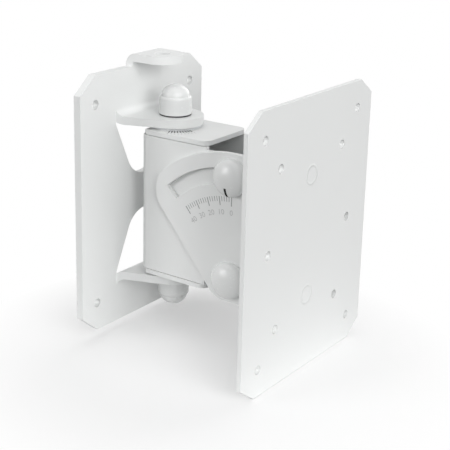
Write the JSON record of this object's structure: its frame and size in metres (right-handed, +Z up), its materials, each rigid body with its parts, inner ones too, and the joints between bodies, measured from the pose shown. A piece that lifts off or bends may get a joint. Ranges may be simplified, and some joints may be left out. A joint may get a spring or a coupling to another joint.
{
  "type": "speaker wall bracket",
  "caption": "Wall bracket for a loudspeaker: a box swivels between the wall plate's ears, and a fork that tilts on the box carries the speaker plate.",
  "frame": {"origin": "middle of the wall plate's rear face, which lies on the wall", "axes": "+Y into the wall, +Z up, +X to the right as seen from the room; the speaker plate faces -Y"},
  "size_m": [0.16, 0.1527, 0.2118],
  "materials": {
    "powder_coat": "satin white powder coat",
    "cap_plastic": "satin white moulding",
    "zinc_steel": "bright zinc plating",
    "dark_steel": "blackened steel",
    "disc_steel": "fine serrated edge, pale coat"
  },
  "bodies": {
    "wall": {"wall_plate": "powder_coat"},
    "swivel": {"swivel_box": "powder_coat", "upper_friction_disc": "disc_steel", "upper_yaw_bolt": "zinc_steel", "upper_yaw_washer": "dark_steel", "upper_yaw_nut": "zinc_steel", "upper_yaw_cap": "cap_plastic", "lower_friction_disc": "disc_steel", "lower_yaw_bolt": "zinc_steel", "lower_yaw_washer": "dark_steel", "lower_yaw_nut": "zinc_steel", "lower_yaw_cap": "cap_plastic", "pivot_bolt": "zinc_steel", "pivot_sleeve": "zinc_steel", "pivot_nut": "zinc_steel", "pivot_washer": "zinc_steel", "pivot_cap_left": "cap_plastic", "pivot_cap_right": "cap_plastic", "clamp_bolt": "zinc_steel", "clamp_sleeve": "zinc_steel", "clamp_nut": "zinc_steel", "clamp_washer": "zinc_steel", "clamp_cap_left": "cap_plastic", "clamp_cap_right": "cap_plastic"},
    "carrier": {"tilt_fork": "powder_coat", "speaker_plate": "powder_coat"}
  },
  "joints": [
    {"name": "swivel", "type": "hinge", "parent": "wall", "child": "swivel", "pos_m": [0, -0.035, 0], "axis": [0, 0, 1], "range_deg": [-65, 65]},
    {"name": "tilt", "type": "hinge", "parent": "swivel", "child": "carrier", "pos_m": [0, -0.1072, -0.04], "axis": [1, 0, 0], "range_deg": [0, 40]}
  ]
}
